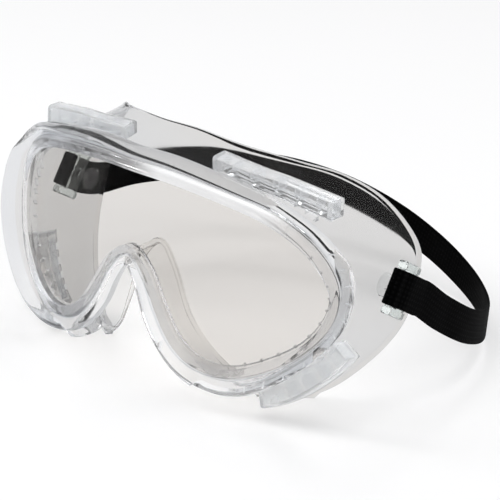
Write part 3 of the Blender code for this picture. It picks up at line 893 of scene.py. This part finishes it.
def woven_material():
    """Black covered elastic: cords along the band, fine picks across, faint lint and sheen."""
    mat, tree, shader = new_material("black_woven_elastic")
    uv = tree.nodes.new("ShaderNodeUVMap")
    uv.uv_map = "weave"
    coords = uv.outputs["UV"]
    picks = wave(tree, coords, "X", PICK_PITCH)
    cords = wave(tree, coords, "Y", CORD_PITCH)
    product = tree.nodes.new("ShaderNodeMath")
    product.operation = "MULTIPLY"
    tree.links.new(picks, product.inputs[0])
    tree.links.new(cords, product.inputs[1])
    lint = noise(tree, coords, 900.0, 4.0)
    worn = noise(tree, coords, 40.0, 3.0)
    colour = mixed(tree, product.outputs["Value"], (0.0004, 0.0004, 0.0005), (0.0032, 0.0032, 0.0035))
    tree.links.new(colour, shader.inputs["Base Color"])
    tree.links.new(ranged(tree, worn, 0.62, 0.8), shader.inputs["Roughness"])
    height = tree.nodes.new("ShaderNodeMath")
    height.operation = "MULTIPLY_ADD"
    height.inputs[1].default_value = 0.35
    tree.links.new(lint, height.inputs[0])
    tree.links.new(product.outputs["Value"], height.inputs[2])
    tree.links.new(bump(tree, height.outputs["Value"], 0.6, 0.00018), shader.inputs["Normal"])
    shader.inputs["Sheen Weight"].default_value = 0.01
    shader.inputs["Sheen Roughness"].default_value = 0.4
    shader.inputs["Specular IOR Level"].default_value = 0.015
    return mat


def wave(tree, coords, direction, pitch):
    """Bands one pitch apart; the texture's own spacing is pi / 10 at a scale of 1."""
    node = tree.nodes.new("ShaderNodeTexWave")
    node.wave_type = "BANDS"
    node.bands_direction = direction
    node.inputs["Scale"].default_value = math.pi / 10 / pitch
    tree.links.new(coords, node.inputs["Vector"])
    return node.outputs["Fac"]


def floor_material():
    mat, tree, shader = new_material("pale_table")
    coords = tree.nodes.new("ShaderNodeTexCoord").outputs["Object"]
    colour = mixed(tree, noise(tree, coords, 3.0), (0.93, 0.93, 0.93), (0.95, 0.95, 0.95))
    tree.links.new(colour, shader.inputs["Base Color"])
    shader.inputs["Roughness"].default_value = 0.9
    shader.inputs["Specular IOR Level"].default_value = 0.1
    return mat


# ---------------------------------------------------------------- stage

def build_floor():
    bm = bmesh.new()
    bmesh.ops.create_circle(bm, cap_ends=True, segments=96, radius=8.0)
    obj = piece_from_bmesh("table", bm, floor_material())
    obj.location.z = -0.0002


def build_world():
    world = bpy.data.worlds.new("studio")
    bpy.context.scene.world = world
    world.use_nodes = True
    tree = world.node_tree
    background = tree.nodes["Background"]
    coords = tree.nodes.new("ShaderNodeTexCoord").outputs["Generated"]
    split = tree.nodes.new("ShaderNodeSeparateXYZ")
    tree.links.new(coords, split.inputs["Vector"])
    ramp = tree.nodes.new("ShaderNodeValToRGB")
    tree.links.new(split.outputs["Z"], ramp.inputs["Fac"])
    stops = ((0.0, 0.93), (0.1, 0.75), (0.3, 0.5), (0.65, 0.55), (1.0, 0.8))
    elements = ramp.color_ramp.elements
    while len(elements) < len(stops):
        elements.new(0.5)
    for element, (position, level) in zip(elements, stops):
        element.position = position
        element.color = (level, level, level * 1.01, 1)
    tree.links.new(ramp.outputs["Color"], background.inputs["Color"])
    background.inputs["Strength"].default_value = 1.0


def add_softbox(name, azimuth, elevation, distance, size, watts):
    light = bpy.data.lights.new(name, "AREA")
    light.shape = "RECTANGLE"
    light.size, light.size_y = size
    light.energy = watts
    obj = bpy.data.objects.new(name, light)
    bpy.context.scene.collection.objects.link(obj)
    a, e = math.radians(azimuth), math.radians(elevation)
    away = Vector((math.sin(a) * math.cos(e), -math.cos(a) * math.cos(e), math.sin(e)))
    low, high = CAD_BOUNDS
    target = (Vector(low) + Vector(high)) / 2
    obj.location = target + away * distance
    obj.rotation_euler = away.to_track_quat("Z", "Y").to_euler()
    return obj


def build_lights():
    add_softbox("overhead_softbox", 20, 78, 1.3, (0.9, 0.8), 5.4)
    add_softbox("left_softbox", -60, 35, 1.2, (0.25, 0.7), 2.2)
    add_softbox("right_softbox", 110, 30, 1.3, (0.25, 0.7), 1.9)
    add_softbox("rear_softbox", 190, 40, 1.5, (0.6, 0.3), 2.3)


def build_camera():
    """Camera at the view's bearing, turned so that the origin stands in its place in the picture."""
    a, e, roll = CAMERA_AZIMUTH, CAMERA_ELEVATION, CAMERA_ROLL
    back = Vector((math.sin(a) * math.cos(e), -math.cos(a) * math.cos(e), math.sin(e)))
    level_right = Vector((math.cos(a), math.sin(a), 0))
    level_up = back.cross(level_right)
    right = level_right * math.cos(roll) + level_up * math.sin(roll)
    up = level_up * math.cos(roll) - level_right * math.sin(roll)
    per_width = 36.0 / CAMERA_LENS_MM
    aim = -back + right * (0.5 - ORIGIN_IN_PICTURE[0]) * per_width
    aim -= up * (0.5 - ORIGIN_IN_PICTURE[1]) * per_width
    back_axis = -aim.normalized()
    right_axis = (right - back_axis * right.dot(back_axis)).normalized()
    up_axis = back_axis.cross(right_axis)
    data = bpy.data.cameras.new("camera")
    data.sensor_width = 36.0
    data.lens = CAMERA_LENS_MM
    data.clip_start = 0.05
    obj = bpy.data.objects.new("camera", data)
    bpy.context.scene.collection.objects.link(obj)
    spot = place((0, 0, 0)) + back * CAMERA_DISTANCE
    columns = [(right_axis[k], up_axis[k], back_axis[k], spot[k]) for k in range(3)]
    obj.matrix_world = Matrix((*columns, (0, 0, 0, 1)))
    bpy.context.scene.camera = obj


# ---------------------------------------------------------------- assembly

def take(obj, body, slot, *nodes):
    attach(obj, body)
    if nodes:
        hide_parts(*nodes)


def dress(node, mat):
    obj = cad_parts[node]
    obj.data.materials.clear()
    obj.data.materials.append(mat)
    smooth_mesh(obj.data, 30)


def main():
    bpy.context.scene.view_settings.view_transform = "Standard"
    build_camera()
    build_floor()
    build_world()
    build_lights()
    rim = clear_material("clear_vinyl_rim", RIM_VINYL)
    # The upper lip gets a painted highlight: a white film standing in for the light it catches.
    lip = veiled(clear_material("clear_vinyl_lip_painted_highlight", RIM_VINYL), (1.0, 1.0, 1.0), 0.2, painted_lip_highlight)
    body = build_face_body(rim, clear_material("clear_vinyl_wall", WALL_VINYL), lip)
    take(body, "goggles", "soft_body", "face_body")
    ribs = veiled(clear_material("clear_vinyl_ribs", RIM_VINYL), (0.92, 0.93, 0.94), 0.3, half_dense)
    take(build_rim_ribs(ribs), "goggles", "soft_body")
    # The lens's front chamfer gets painted shade: a near-black film towards the temple.
    painted_edge_material = veiled(clear_material("lens_edge_painted_shade", POLISHED), (0.01, 0.012, 0.016), 0.4,
                    painted_edge_shade)
    lens = build_lens(clear_material("clear_polycarbonate", POLISHED), painted_edge_material)
    take(lens, "goggles", "lens", "lens")
    moulded = veiled(clear_material("clear_moulded", MOULDED), (0.93, 0.935, 0.94), 0.35,
                     lightly_misted)
    inner = clear_material("clear_moulded_inside", INNER)
    misted = veiled(clear_material("clear_moulded_ribs", INNER), (0.93, 0.94, 0.95), 0.3,
                    lightly_misted)
    for side, sign in (("right", 1), ("left", -1)):
        for level, vent in (("top", TOP_VENT), ("bottom", LOW_VENT)):
            name = level + "_" + side
            take(build_cover("cover_" + name, vent, sign, moulded), "goggles", "cover",
                 "vent_cover_" + name)
            take(build_cover_ribs("cover_ribs_" + name, vent, sign, misted), "goggles", "cover")
            dress("vent_grille_" + name, inner)
        greenish = clear_material("clear_clip_" + side, GREENISH)
        dress("strap_clip_" + side, greenish)
        dress("clip_stud_" + side, clear_material("clear_stud_" + side, STUD))
    take(build_headband(woven_material()), "band", "elastic", "headband")


main()
